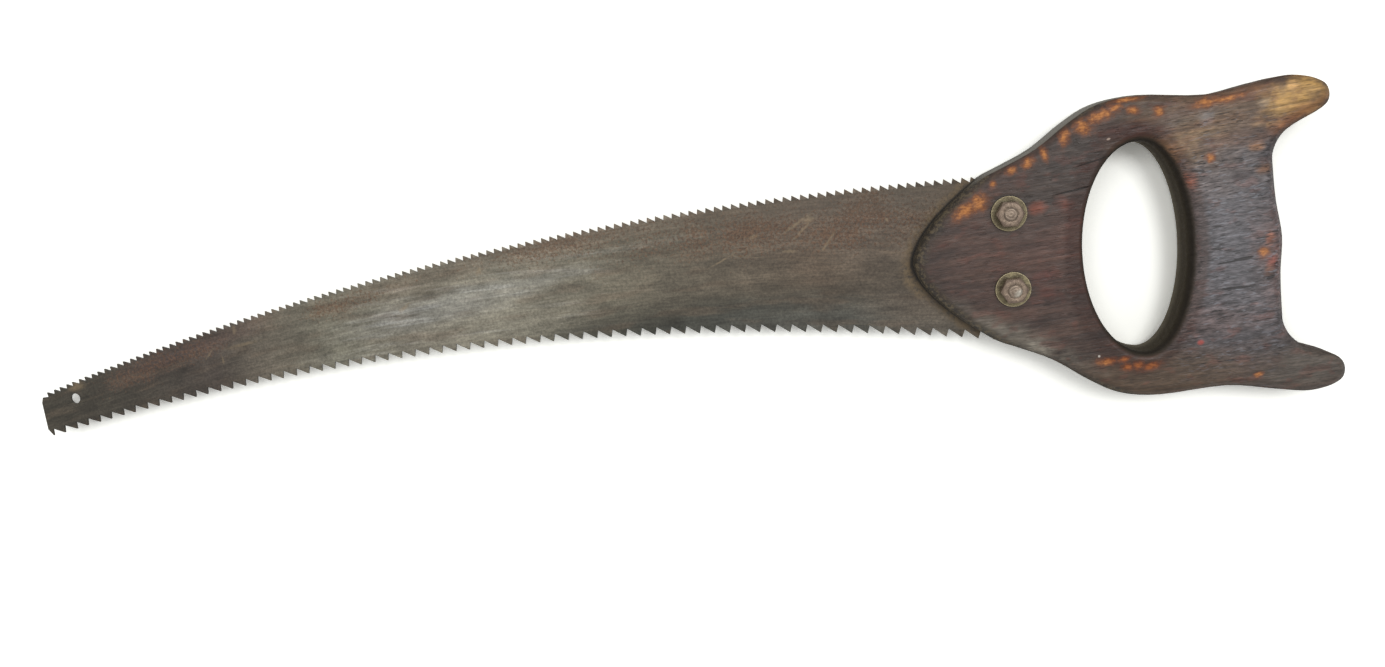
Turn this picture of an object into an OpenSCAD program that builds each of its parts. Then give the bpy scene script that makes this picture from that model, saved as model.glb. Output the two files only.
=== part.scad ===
// Double edged pruning saw: a curved steel blade toothed on both edges, held
// in a sawn slot of a one piece wooden handle by two carriage bolts.
// The saw lies flat, nut side up: X runs from the nose to the grip, Y across
// the blade, Z up. All sizes are millimetres.

/* [Blade] */
// Length of the blade from its nose to where the wood begins
blade_len = 443; // [360:1:520]
// Width over the tooth tips at the nose
nose_w = 20.8; // [16:0.2:30]
// Width over the tooth tips where the wood begins
heel_w = 68.3; // [60:0.1:76]
// Thickness of the blade
blade_t = 1.0; // [0.8:0.1:1.6]
// How far the middle of the heel lies below the bolts' midpoint
heel_drop = 2.55; // [0:0.05:4]
// How far the middle of the nose lies below the bolts' midpoint
nose_drop = 0.3; // [0:0.1:3]
// Radius of the arc through the upper tooth tips
upper_arc_r = 1420; // [1000:5:2000]
// Radius of the arc through the lower tooth tips
lower_arc_r = 1240; // [1000:5:2000]
// How far the first upper tooth stands behind the tip of the nose
upper_start = 4.2; // [2:0.1:6]
// How far the first whole lower tooth stands behind the tip of the nose
lower_start = 2.8; // [1:0.1:6]
// Diameter of the hanging hole
hang_hole_d = 4.8; // [3.6:0.1:6.4]
// Distance of the hanging hole from the nose
hang_hole_in = 18.5; // [12:0.5:30]
// Height of the hanging hole above the middle of the nose
hang_hole_up = 5.4; // [0:0.1:6]

/* [Teeth] */
// Pitch of the fine upper teeth, along the arc
fine_pitch = 3.66; // [2.8:0.02:5]
// Height of the fine upper teeth
fine_h = 2.2; // [1.4:0.1:3]
// Pitch of the coarse lower teeth, along the arc
coarse_pitch = 6.5; // [5:0.02:9]
// Height of the coarse lower teeth
coarse_h = 3.4; // [2:0.1:4.6]
// Share of the pitch that the steep face of a tooth takes up
rake_share = 0.12; // [0.04:0.02:0.3]
// How far every other tip is bent out of the blade, to each side
tooth_set = 0.25; // [0:0.05:0.4]
// Stretch next to the wood in which the teeth aren't bent
set_end = 9; // [4:0.5:20]

/* [Tang] */
// How far the hidden end of the blade reaches behind the bolts
tang_back = 14; // [11:0.5:18]
// Steel left outside the bolts at the end of the tang
tang_margin = 6; // [4:0.5:10]

/* [Handle] */
// Thickness of the handle
handle_t = 22; // [18:0.5:28]
// Angle of the handle's centre line below the blade's
handle_tilt = 5.1; // [0:0.1:10]
// How far that centre line passes below the bolts' midpoint
handle_drop = 3.05; // [0:0.05:5]
// Sideways lean of the handle's outline, as a slope
handle_lean = 0.04; // [0:0.01:0.1]
// Reach of the blunt point ahead of the bolts
front_reach = 38.2; // [32:0.1:50]
// Distance from the bolts to where the wood leaves the blade's edges
heel_at = 8.5; // [6:0.5:16]
// Wood outside the blade's edges, level with the bolts
cheek_wall = 2.7; // [2.5:0.1:8]
// Width across the shoulders, beside the hand hole
shoulder_w = 119; // [112:0.2:135]
// Distance of the shoulders behind the bolts
shoulder_at = 53; // [46:0.5:60]
// Width across the waist, beside the grip
waist_w = 114; // [108:0.2:130]
// Distance of the waist behind the bolts
waist_at = 78; // [70:0.5:84]
// Width across the horns
horn_w = 122.2; // [114:0.2:140]
// How much farther the lower side swells out than the upper one
lower_swell = 1; // [0:0.1:2]
// Distance from the bolts to the back of the grip
grip_back = 102.6; // [94:0.1:115]
// How far the horns stand out behind the grip
horn_len = 20; // [16:0.5:26]
// Radius of a horn's round tip
horn_tip_r = 6.3; // [4.8:0.1:7]
// Radius of the hollow between the grip and a horn
throat_r = 15; // [12:0.2:18]
// Distance of these hollows' centres from the handle's centre line
throat_y = 29.8; // [27:0.1:32]
// How far both of them lie below their mirrored places
throat_drop = 1; // [0:0.1:3]
// Radius of the rounded outer edges
edge_r = 4; // [2:0.1:5]

/* [Hand hole] */
// Distance of the hole's two ends behind the bolts
hole_at = 50.5; // [48:0.5:52]
// Reach of the hole from the line of its ends towards the bolts
hole_front = 22.8; // [18:0.2:25]
// Reach of the hole from that line towards the grip
hole_back = 17.2; // [14:0.2:22]
// Length of the hole, across the handle
hole_len = 83.5; // [76:0.5:92]
// Radius of the hole's rim on the side of the bolts
hole_front_r = 2; // [1:0.1:4]
// Radius of the hole's rim on the side of the grip
hole_grip_r = 5; // [2:0.1:7]

/* [Fasteners] */
// Diameter of the bolts
bolt_d = 4.8; // [4:0.05:6]
// Distance between the two bolts
bolt_gap = 30.4; // [24:0.2:36]
// Diameter of a bolt's domed head
head_d = 12; // [10:0.5:15]
// Height of a bolt's domed head
head_h = 2.8; // [2:0.1:4]
// Depth of the square neck under the head
neck_h = 3.2; // [2:0.1:5]
// Outer diameter of a washer
washer_d = 14; // [12:0.5:18]
// Thickness of a washer
washer_t = 1.2; // [0.8:0.1:2]
// Size of a nut across its flats
nut_af = 9.6; // [8.6:0.1:11]
// Height of a nut
nut_h = 5.4; // [4:0.1:7]
// Turn of the upper nut
upper_nut_turn = 58; // [0:1:60]
// Turn of the lower nut
lower_nut_turn = 2; // [0:1:60]
// Height of the peened end of a bolt above its nut
peen_h = 0.9; // [0.4:0.1:2]

/* [Hidden] */
// Clearances of the bolts in their holes, of the square neck, and of the
// blade in its slot, each on one side
hole_clear = 0.15;
neck_clear = 0.05;
slot_clear = 0.05;
tang_clear = 1;
// How far a cutter runs past the face that it opens
past = 2;
// Steps of the rounded edges, of each stretch of the outline, of the hole
edge_steps = 4;
span_steps = 4;
hole_steps = 72;

steel = [0.30, 0.28, 0.27];
dark_wood = [0.27, 0.17, 0.14];
washer_brass = [0.42, 0.39, 0.28];
nut_steel = [0.36, 0.31, 0.32];

function mix(a, b, f) = a + (b - a) * f;
function unit(v) = v / norm(v);
function turned(p, a) = [p.x * cos(a) - p.y * sin(a), p.x * sin(a) + p.y * cos(a)];

// Blade outline, in the saw's frame: origin midway between the bolts

nose_x = -heel_at - blade_len;
heel_x = -heel_at;
upper_nose = [nose_x + upper_start, nose_w / 2 - nose_drop];
lower_nose = [nose_x + lower_start, -nose_w / 2 - nose_drop];
upper_heel = [heel_x, heel_w / 2 - heel_drop];
lower_heel = [heel_x, -heel_w / 2 - heel_drop];

// Centre of the circle of radius r through a and b that lies below them
function arc_centre(a, b, r) =
    let (half = (b - a) / 2, h = sqrt(r * r - half * half))
    a + half + h * unit([half.y, -half.x]);
function arc_angle(c, p) = atan2(p.y - c.y, p.x - c.x);
function on_circle(c, r, a) = c + r * [cos(a), sin(a)];

// One row of teeth from the nose to the heel along the arc through a and b.
// Each entry is [x, y, bend, is_tip]: gullets have bend 0, and tips bend to alternate
// sides except next to the wood. inward is 1 where the steel lies inside the
// arc and -1 outside it, and tip_at is the place of a tip in its pitch.
function tooth_row(a, b, r, pitch, h, tip_at, inward) =
    let (c = arc_centre(a, b, r),
         start = arc_angle(c, a),
         step = pitch / r * 180 / PI,
         count = round((start - arc_angle(c, b)) / step),
         unset = floor(set_end / pitch),
         root_r = r - inward * h)
    [for (i = [0 : count - 1])
        let (a0 = start - i * step, bend = i >= count - unset ? 0 : i % 2 == 0 ? 1 : -1)
        each [[each on_circle(c, root_r, a0), 0, false],
              [each on_circle(c, r, a0 - tip_at * step), bend, true]],
     [each on_circle(c, root_r, start - count * step), 0, false]];

fine_row = tooth_row(upper_nose, upper_heel, upper_arc_r,
                     fine_pitch, fine_h, rake_share, 1);
coarse_row = tooth_row(lower_nose, lower_heel, lower_arc_r,
                       coarse_pitch, coarse_h, 1 - rake_share, -1);

// The end of the tang holds both bolts, and its corners are cut back
tang_half = bolt_gap / 2 + tang_margin;
tang_knots = [[0, mix(upper_heel.y, tang_half, 0.5)],
              [tang_back - 5, tang_half + 1],
              [tang_back, tang_half - 4],
              [tang_back, -tang_half + 4],
              [tang_back - 5, -tang_half - 1],
              [0, mix(lower_heel.y, -tang_half, 0.5)]];

function reversed(list) = [for (i = [len(list) - 1 : -1 : 0]) list[i]];
// The nose ends in a worn lower tooth, a straight end and a round upper corner
worn_tip = [nose_x + 2.1, lower_nose.y, 0, true];
nose_knots = [[nose_x, lower_nose.y + coarse_h],
              [nose_x + 0.5, upper_nose.y - 2 * fine_h],
              [nose_x + 1.6, upper_nose.y - 0.9 * fine_h]];
function plain(knots) = [for (p = knots) [p.x, p.y, 0, false]];
blade_loop = concat(fine_row, plain(tang_knots), reversed(coarse_row),
                    [worn_tip], plain(nose_knots));

// Handle outline, in the handle's frame: X along its centre line from the
// bolts to the grip, Y across it

front_power = 1.66;
grip_x = grip_back - 1.9;
horn_x = grip_back + horn_len - horn_tip_r;
horn_y = horn_w / 2 - horn_tip_r - 1.9;
cheek_half = heel_w / 2 + cheek_wall;
heel_half = heel_w / 2 - 1;

function front_knot(f) =
    [mix(-front_reach, -heel_at, pow(f, front_power)), f * heel_half];
// How much farther out a side lies than the upper side
function swell(side) = side < 0 ? lower_swell : 0;
function flank_knot(f, g, side) =
    [f * shoulder_at, mix(cheek_half, (shoulder_w + swell(side)) / 2, g)];
function throat_knot(a, side) =
    on_circle([grip_x + throat_r, throat_y - side * throat_drop], throat_r, a);

// Knots of one side, from the blunt point round to the grip's back. side is 1
// for the upper side and -1 for the lower one, which is mirrored afterwards.
function half_outline(side) = concat(
    [for (f = [0 : 0.2 : 1]) front_knot(f)],
    [[0, cheek_half], flank_knot(0.25, 0.265, side), flank_knot(0.5, 0.665, side),
     flank_knot(0.72, 0.925, side), flank_knot(1, 1, side)],
    [for (p = [[waist_at, waist_w / 2], [grip_back - 6, mix(waist_w, horn_w, 0.65) / 2],
               [grip_back + 4, horn_w / 2], [horn_x - 3.5, horn_w / 2 - 0.5],
               for (a = [72, 30, -15, -60]) on_circle([horn_x, horn_y], horn_tip_r, a)])
        [p.x, p.y + swell(side)]],
    [for (a = [115, 140, 165, 188]) throat_knot(a, side)],
    [[grip_x + 0.5, 14], [grip_back, 0]]);

lower_half = half_outline(-1);
outline_knots = concat(half_outline(1),
    [for (i = [len(lower_half) - 2 : -1 : 1]) [lower_half[i].x, -lower_half[i].y]]);

// A smooth curve from b to c that also looks at the knots before and after
function curve_point(a, b, c, d, u) =
    (2 * b + (c - a) * u + (2 * a - 5 * b + 4 * c - d) * u * u
     + (3 * b - a - 3 * c + d) * u * u * u) / 2;
function smooth_loop(knots, steps) =
    let (n = len(knots))
    [for (i = [0 : n - 1], k = [0 : steps - 1])
        curve_point(knots[(i + n - 1) % n], knots[i], knots[(i + 1) % n],
                    knots[(i + 2) % n], k / steps)];
function leaned(p) = [p.x - handle_lean * p.y, p.y];

handle_outline = [for (p = smooth_loop(outline_knots, span_steps)) leaned(p)];
// From beside an end of the hand hole, all of the outline on its side is in view
handle_hubs = [for (side = [1, -1])
    leaned([mix(shoulder_at, waist_at, 1 / 3), side * 0.47 * hole_len])];

// From the handle's frame to the saw's
function in_saw(p) = turned([p.x, p.y - handle_drop], -handle_tilt);

// The origin is under the middle of the whole saw, at its lowest point

saw_points = concat([for (p = blade_loop) [p.x, p.y]], [for (p = handle_outline) in_saw(p)]);
saw_x = [for (p = saw_points) p.x];
saw_y = [for (p = saw_points) p.y];
to_origin = [-(min(saw_x) + max(saw_x)) / 2, -(min(saw_y) + max(saw_y)) / 2,
             handle_t / 2 + head_h];

// A lid of triangles on a ring of n points. The first half of the ring is a fan
// round the point hub, the other half a fan round the next point.
function lid_on(first, n, hub) = concat(
    [for (i = [0 : n - 1]) [first + i, first + (i + 1) % n, i < n / 2 ? hub : hub + 1]],
    [[first, hub, first + n / 2], [first, first + n / 2, hub + 1]]);

// Stacks rings of points that run clockwise, lowest first, into one closed skin.
// Both halves of a ring are seen whole from their own one of the two hubs.
module skin(rings, hubs) {
    n = len(rings[0]);
    last = len(rings) - 1;
    sides = [for (k = [0 : last - 1], i = [0 : n - 1])
        let (j = (i + 1) % n)
        each [[k * n + i, (k + 1) * n + j, (k + 1) * n + i],
              [k * n + i, k * n + j, (k + 1) * n + j]]];
    hub_points = [for (z = [rings[0][0].z, rings[last][0].z], p = hubs) [p.x, p.y, z]];
    bottom = [for (f = lid_on(0, n, (last + 1) * n)) reversed(f)];
    top = lid_on(last * n, n, (last + 1) * n + 2);
    polyhedron(concat([for (ring = rings) each ring], hub_points),
               concat(bottom, sides, top), convexity = 6);
}

// Rings of a rounded edge: r(1 - cos) inward while the height climbs by r sin
edge_angles = [for (k = [0 : edge_steps]) 90 * k / edge_steps];

// The outline of a closed loop moved inward by d, for a loop that runs clockwise
function inset(loop, d) =
    let (n = len(loop))
    [for (i = [0 : n - 1])
        let (t = unit(loop[(i + 1) % n] - loop[(i + n - 1) % n]))
        loop[i] + d * [t.y, -t.x]];

module handle_body() {
    flat_z = handle_t / 2 - edge_r;
    upper = [for (a = edge_angles)
        [for (p = inset(handle_outline, edge_r * (1 - cos(a))))
            [p.x, p.y, flat_z + edge_r * sin(a)]]];
    skin(concat(reversed([for (ring = upper) [for (p = ring) [p.x, p.y, -p.z]]]), upper),
         handle_hubs);
}

// The hole's rim is crisp towards the bolts and full towards the grip
function rim_r(a) = mix(hole_front_r, hole_grip_r, (1 + cos(a)) / 2);
function rim_point(a, grow) =
    let (reach = cos(a) > 0 ? hole_back : hole_front,
         x = reach * cos(a), y = hole_len / 2 * sin(a),
         out = unit([x / pow(reach, 2), y / pow(hole_len / 2, 2)]))
    [hole_at + x, y] + grow * out;

module hand_hole() {
    angles = [for (i = [0 : hole_steps - 1]) -360 * i / hole_steps];
    upper = [for (e = edge_angles)
        [for (a = angles)
            [each rim_point(a, rim_r(a) * (1 - cos(e))),
             handle_t / 2 - rim_r(a) * (1 - sin(e))]]];
    lid = [for (a = angles) [each rim_point(a, rim_r(a)), handle_t / 2 + past]];
    half = concat(upper, [lid]);
    skin(concat(reversed([for (ring = half) [for (p = ring) [p.x, p.y, -p.z]]]), half),
         [[hole_at, -hole_len / 4], [hole_at, hole_len / 4]]);
}

module at_origin() { translate(to_origin) children(); }
module along_handle() { rotate(-handle_tilt) translate([0, -handle_drop]) children(); }
module at_upper_bolt() { at_origin() along_handle() translate([0, handle_drop + bolt_gap / 2]) children(); }
module at_lower_bolt() { at_origin() along_handle() translate([0, handle_drop - bolt_gap / 2]) children(); }
module at_both_bolts() { for (side = [-1, 1]) translate([0, handle_drop + side * bolt_gap / 2]) children(); }

// How many points of a chain, after its first, lie nearer to the nose than x
function passed(chain, x, with_ties) =
    len([for (k = [1 : len(chain) - 1])
        let (ahead = x - blade_loop[chain[k]].x)
        if (ahead > 0 || with_ties && ahead == 0) k]);

module blade_steel() {
    n = len(blade_loop);
    half = blade_t / 2;
    ring = function(z) [for (p = blade_loop) [p.x, p.y, z + p[2] * tooth_set]];
    flat = [for (i = [0 : n - 1]) if (!blade_loop[i][3]) i];
    tips = [for (i = [0 : n - 1]) if (blade_loop[i][3]) i];
    // The flat faces are triangles between an upper and a lower chain of points,
    // which both run from the nose to the end of the tang
    tang_end = len(fine_row) + 2;
    nose_end = n - 3;
    upper = [n - 2, n - 1, for (i = flat) if (i <= tang_end) i];
    lower = [for (i = reversed(flat)) if (i > tang_end && i <= nose_end) i];
    face = concat(
        [for (k = [1 : len(upper) - 1])
            [upper[k - 1], upper[k], lower[passed(lower, blade_loop[upper[k]].x, false)]]],
        [for (k = [1 : len(lower) - 1])
            [lower[k], lower[k - 1], upper[passed(upper, blade_loop[lower[k]].x, true)]]],
        [for (i = tips) [i - 1, i, i + 1]]);
    back = [for (f = face) reversed(f)];
    front = [for (f = face) [for (i = f) i + n]];
    edges = [for (i = [0 : n - 1])
        let (j = (i + 1) % n)
        each [[i, j + n, i + n], [i, j, j + n]]];
    polyhedron(concat(ring(-half), ring(half)), concat(front, back, edges), convexity = 10);
}

module blade() {
    color(steel)
    at_origin()
    difference() {
        blade_steel();
        translate([nose_x + hang_hole_in, hang_hole_up - nose_drop, -blade_t])
            cylinder(h = 2 * blade_t, d = hang_hole_d, $fn = 48);
        along_handle() at_both_bolts() translate([0, 0, -blade_t])
            cylinder(h = 2 * blade_t, d = bolt_d + 2 * hole_clear, $fn = 48);
    }
}

module blade_slot() {
    slot_t = blade_t + 2 * slot_clear;
    back_x = tang_back + tang_clear;
    translate([-front_reach - heel_w, -shoulder_w / 2, -slot_t / 2])
        cube([front_reach + heel_w + back_x, shoulder_w, slot_t]);
}

module handle() {
    color(dark_wood)
    at_origin() {
        difference() {
            along_handle() handle_body();
            along_handle() hand_hole();
            blade_slot();
            along_handle() at_both_bolts() {
                translate([0, 0, -handle_t])
                    cylinder(h = 2 * handle_t, d = bolt_d + 2 * hole_clear, $fn = 48);
                neck_mortise();
            }
        }
    }
}

module neck_mortise() {
    side = bolt_d + 2 * neck_clear;
    translate([-side / 2, -side / 2, -handle_t / 2 - past])
        cube([side, side, neck_h + past]);
}

module carriage_bolt() {
    top_z = handle_t / 2 + washer_t + nut_h + peen_h;
    peen_r = bolt_d / 2 + 2 * hole_clear;
    dome_r = (pow(head_d / 2, 2) + head_h * head_h) / (2 * head_h);
    translate([0, 0, -handle_t / 2]) {
        // Domed head: the cap of a sphere
        rotate_extrude($fn = 64) intersection() {
            translate([0, dome_r - head_h]) circle(r = dome_r, $fn = 120);
            translate([0, -head_h]) square([head_d / 2, head_h]);
        }
        translate([-bolt_d / 2, -bolt_d / 2, 0]) cube([bolt_d, bolt_d, neck_h]);
    }
    translate([0, 0, -handle_t / 2])
        cylinder(h = top_z - peen_h + handle_t / 2, d = bolt_d, $fn = 48);
    // Peened end: hammered over the nut into a low button
    translate([0, 0, top_z - peen_h])
        rotate_extrude($fn = 48)
        polygon([[0, 0], [peen_r, 0], [peen_r, peen_h * 0.4],
                 [peen_r - peen_h * 0.6, peen_h * 0.85], [peen_r / 3, peen_h], [0, peen_h]]);
}

module washer() {
    translate([0, 0, handle_t / 2])
    difference() {
        cylinder(h = washer_t, d = washer_d, $fn = 64);
        translate([0, 0, -washer_t])
            cylinder(h = 3 * washer_t, d = bolt_d + 4 * hole_clear, $fn = 48);
    }
}

module nut() {
    corner_r = nut_af / 2 / cos(30);
    chamfer = corner_r - nut_af / 2;
    translate([0, 0, handle_t / 2 + washer_t])
    difference() {
        intersection() {
            cylinder(h = nut_h, r = corner_r, $fn = 6);
            rotate_extrude($fn = 64)
            polygon([[0, 0], [corner_r, 0], [corner_r, nut_h - chamfer],
                     [nut_af / 2 - 0.3, nut_h], [0, nut_h]]);
        }
        translate([0, 0, -nut_h])
            cylinder(h = 3 * nut_h, d = bolt_d + 2 * hole_clear, $fn = 48);
    }
}

module upper_bolt() { color(nut_steel) at_upper_bolt() carriage_bolt(); }
module lower_bolt() { color(nut_steel) at_lower_bolt() carriage_bolt(); }
module upper_washer() { color(washer_brass) at_upper_bolt() washer(); }
module lower_washer() { color(washer_brass) at_lower_bolt() washer(); }
module upper_nut() { color(nut_steel) at_upper_bolt() rotate(upper_nut_turn) nut(); }
module lower_nut() { color(nut_steel) at_lower_bolt() rotate(lower_nut_turn) nut(); }

blade();
handle();
upper_bolt();
lower_bolt();
upper_washer();
lower_washer();
upper_nut();
lower_nut();
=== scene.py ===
"""Looks of the double edged pruning saw: its finishes, the studio round it and the camera."""

import logging
import math
from dataclasses import dataclass, field
from enum import Enum

import bpy
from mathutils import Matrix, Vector


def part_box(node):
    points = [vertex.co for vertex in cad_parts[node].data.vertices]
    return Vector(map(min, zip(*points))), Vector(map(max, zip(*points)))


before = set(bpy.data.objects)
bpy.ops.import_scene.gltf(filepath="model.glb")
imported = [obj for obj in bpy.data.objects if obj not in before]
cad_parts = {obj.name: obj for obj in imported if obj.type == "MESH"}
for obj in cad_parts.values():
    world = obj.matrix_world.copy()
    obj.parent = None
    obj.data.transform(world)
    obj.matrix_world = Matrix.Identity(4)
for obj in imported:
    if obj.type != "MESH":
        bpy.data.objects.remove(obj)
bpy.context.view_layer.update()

LOG = logging.getLogger("pruning_saw")
MM = 0.001

Colour = tuple[float, float, float]
Point = tuple[float, float]
Socket = bpy.types.NodeSocket


class Side(Enum):
    """The two bolts of the handle, named by their place in the picture."""

    UPPER = "upper"
    LOWER = "lower"


# Node helpers


class Canvas:
    """Places nodes in one shader tree and joins them. Lengths on it are millimetres."""

    def __init__(self, tree: bpy.types.NodeTree) -> None:
        """Keeps the tree that the nodes go into."""
        self.tree = tree

    def node(self, kind: str, **settings: object) -> bpy.types.Node:
        """Adds a node.

        Args:
            kind: the node's Blender type.
            settings: properties of the node.

        Returns:
            The new node.
        """
        made = self.tree.nodes.new(kind)
        for name, value in settings.items():
            setattr(made, name, value)
        return made

    def feed(self, socket: Socket, value: object) -> None:
        """Joins an input to a socket, or gives it a plain value.

        Args:
            socket: the input.
            value: a socket, a number, or a tuple for a colour or a vector.
        """
        if isinstance(value, bpy.types.NodeSocket):
            self.tree.links.new(value, socket)
        elif isinstance(value, tuple) and socket.type == "RGBA":
            socket.default_value = (*value, 1.0)
        else:
            socket.default_value = value

    def math(self, operation: str, *values: object, clamp: bool = False) -> Socket:
        """Works out one number from others, such as a sum or a power."""
        made = self.node("ShaderNodeMath", operation=operation, use_clamp=clamp)
        for socket, value in zip(made.inputs, values):
            self.feed(socket, value)
        return made.outputs[0]

    def vector(self, operation: str, *values: object) -> bpy.types.Node:
        """Works out a vector from others, and returns the node, which has both outputs."""
        made = self.node("ShaderNodeVectorMath", operation=operation)
        for socket, value in zip(made.inputs, values):
            self.feed(socket, value)
        return made

    def turned(self, vector: object, angle: object) -> Socket:
        """Turns a vector round Z by an angle in radians."""
        made = self.node("ShaderNodeVectorRotate", rotation_type="Z_AXIS")
        self.feed(made.inputs["Vector"], vector)
        self.feed(made.inputs["Angle"], angle)
        return made.outputs[0]

    def mix(self, amount: object, first: object, second: object, blend: str = "MIX") -> Socket:
        """Blends two colours.

        Args:
            amount: how much of the second colour shows, 0 to 1.
            first: the colour below.
            second: the colour above.
            blend: Blender's name of the blend.

        Returns:
            The blended colour.
        """
        made = self.node("ShaderNodeMix", data_type="RGBA", blend_type=blend)
        for name, value in (("Factor_Float", amount), ("A_Color", first), ("B_Color", second)):
            socket = next(s for s in made.inputs if s.identifier == name)
            self.feed(socket, value)
        return next(s for s in made.outputs if s.identifier == "Result_Color")

    def noise(self, vector: object, grain: object, detail: float = 2.0, rough: float = 0.5) -> Socket:
        """Cloudy noise of 0 to 1 whose lumps are about one grain wide, in millimetres."""
        made = self.node("ShaderNodeTexNoise", noise_dimensions="3D")
        self.feed(made.inputs["Vector"], vector)
        self.feed(made.inputs["Scale"], self.math("DIVIDE", 1.0, grain))
        self.feed(made.inputs["Detail"], detail)
        self.feed(made.inputs["Roughness"], rough)
        return made.outputs[0]

    def step(self, value: object, low: object, high: object) -> Socket:
        """A smooth step from 0 at low to 1 at high."""
        made = self.node("ShaderNodeMapRange", interpolation_type="SMOOTHSTEP")
        for name, given in (("Value", value), ("From Min", low), ("From Max", high)):
            self.feed(made.inputs[name], given)
        return made.outputs[0]

    def scaled(self, value: object, low: float, high: float) -> Socket:
        """Spreads a noise, which keeps near 0.5, over the numbers from low to high."""
        made = self.node("ShaderNodeMapRange")
        numbers = (("Value", value), ("From Min", 0.3), ("From Max", 0.7), ("To Min", low), ("To Max", high))
        for name, given in numbers:
            self.feed(made.inputs[name], given)
        return made.outputs[0]

    def walls(self) -> Socket:
        """A mask that is 1 on faces that stand upright and 0 on those that lie flat."""
        coordinates = self.node("ShaderNodeTexCoord")
        parts = self.node("ShaderNodeSeparateXYZ")
        self.feed(parts.inputs[0], coordinates.outputs["Normal"])
        return self.step(self.math("ABSOLUTE", parts.outputs["Z"]), 0.90, 0.35)

    def effect(self, tree: bpy.types.NodeTree, **values: object) -> Socket:
        """Places a shared effect with its own values, and returns its first output."""
        made = self.node("ShaderNodeGroup", node_tree=tree)
        for name, value in values.items():
            self.feed(made.inputs[name.replace("_", " ").capitalize()], value)
        return made.outputs[0]

    def place(self) -> Socket:
        """The place of a point on the object, in millimetres."""
        coordinates = self.node("ShaderNodeTexCoord")
        return self.vector("DIVIDE", coordinates.outputs["Object"], (MM, MM, MM)).outputs[0]


class Effects:
    """The shader groups that several finishes share. Each is built once."""

    def __init__(self) -> None:
        """Builds every group."""
        self.grain = self._grain()
        self.patch = self._patch()
        self.ragged = self._ragged()
        self.contact_shade = self._contact_shade()
        self.edge_mask = self._edge_mask()

    @staticmethod
    def _new(name: str, inputs: dict[str, str], output: str) -> tuple[Canvas, dict, Socket]:
        """Starts a group.

        Args:
            name: the group's name.
            inputs: kind of socket by the input's name.
            output: the name of its only output, a number.

        Returns:
            The canvas, the group's inputs by name, and the input of its output.
        """
        tree = bpy.data.node_groups.new(name, "ShaderNodeTree")
        for label, kind in inputs.items():
            tree.interface.new_socket(name=label, in_out="INPUT", socket_type=kind)
        tree.interface.new_socket(name=output, in_out="OUTPUT", socket_type="NodeSocketFloat")
        canvas = Canvas(tree)
        given = canvas.node("NodeGroupInput")
        result = canvas.node("NodeGroupOutput")
        return canvas, {s.name: s for s in given.outputs if s.name}, result.inputs[0]

    def _grain(self) -> bpy.types.NodeTree:
        """Noise that is stretched along the object by a length and a width."""
        canvas, given, result = self._new(
            "grain",
            {
                "Vector": "NodeSocketVector",
                "Turn": "NodeSocketFloat",
                "Length": "NodeSocketFloat",
                "Width": "NodeSocketFloat",
                "Detail": "NodeSocketFloat",
            },
            "Amount",
        )
        stretch = canvas.node("ShaderNodeCombineXYZ")
        for index, name in enumerate(("Length", "Width", "Width")):
            canvas.feed(stretch.inputs[index], given[name])
        along = canvas.turned(given["Vector"], given["Turn"])
        scaled = canvas.vector("DIVIDE", along, stretch.outputs[0]).outputs[0]
        canvas.feed(result, canvas.noise(scaled, 1.0, given["Detail"]))
        return canvas.tree

    def _patch(self) -> bpy.types.NodeTree:
        """An oval field: 1 at its centre, 0 on its rim and less outside."""
        canvas, given, result = self._new(
            "patch",
            {
                "Vector": "NodeSocketVector",
                "Centre": "NodeSocketVector",
                "Turn": "NodeSocketFloat",
                "Size": "NodeSocketVector",
            },
            "Field",
        )
        offset = canvas.vector("SUBTRACT", given["Vector"], given["Centre"]).outputs[0]
        own = canvas.turned(offset, given["Turn"])
        scaled = canvas.vector("DIVIDE", own, given["Size"]).outputs[0]
        reach = canvas.vector("LENGTH", scaled).outputs["Value"]
        canvas.feed(result, canvas.math("SUBTRACT", 1.0, canvas.math("MULTIPLY", reach, 2.0)))
        return canvas.tree

    def _ragged(self) -> bpy.types.NodeTree:
        """Turns a field into a mask whose rim is torn by a noise."""
        canvas, given, result = self._new(
            "ragged rim",
            {
                "Field": "NodeSocketFloat",
                "Noise": "NodeSocketFloat",
                "Tear": "NodeSocketFloat",
                "Softness": "NodeSocketFloat",
            },
            "Mask",
        )
        centred = canvas.math("SUBTRACT", given["Noise"], 0.5)
        torn = canvas.math("MULTIPLY_ADD", centred, given["Tear"], given["Field"])
        low = canvas.math("MULTIPLY", given["Softness"], -1.0)
        canvas.feed(result, canvas.step(torn, low, given["Softness"]))
        return canvas.tree

    def _contact_shade(self) -> bpy.types.NodeTree:
        """A mask of painted shade where surfaces meet, darker in the hollows between parts."""
        canvas, given, result = self._new("contact_shade", {"Reach": "NodeSocketFloat"}, "Mask")
        shade = canvas.node("ShaderNodeAmbientOcclusion", samples=8)
        canvas.feed(shade.inputs["Distance"], canvas.math("MULTIPLY", given["Reach"], MM))
        canvas.feed(result, canvas.math("SUBTRACT", 1.0, shade.outputs["AO"], clamp=True))
        return canvas.tree

    def _edge_mask(self) -> bpy.types.NodeTree:
        """A mask of the convex and concave edges within a radius. On the wood it carries painted shade on
        rounded edges; on the fittings, rubbed wear with a painted highlight.
        """
        canvas, given, result = self._new("edge wear", {"Radius": "NodeSocketFloat"}, "Mask")
        rounded = canvas.node("ShaderNodeBevel", samples=6)
        canvas.feed(rounded.inputs["Radius"], canvas.math("MULTIPLY", given["Radius"], MM))
        surface = canvas.node("ShaderNodeNewGeometry").outputs["Normal"]
        facing = canvas.vector("DOT_PRODUCT", rounded.outputs[0], surface).outputs["Value"]
        canvas.feed(result, canvas.step(facing, 0.995, 0.9))
        return canvas.tree


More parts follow.
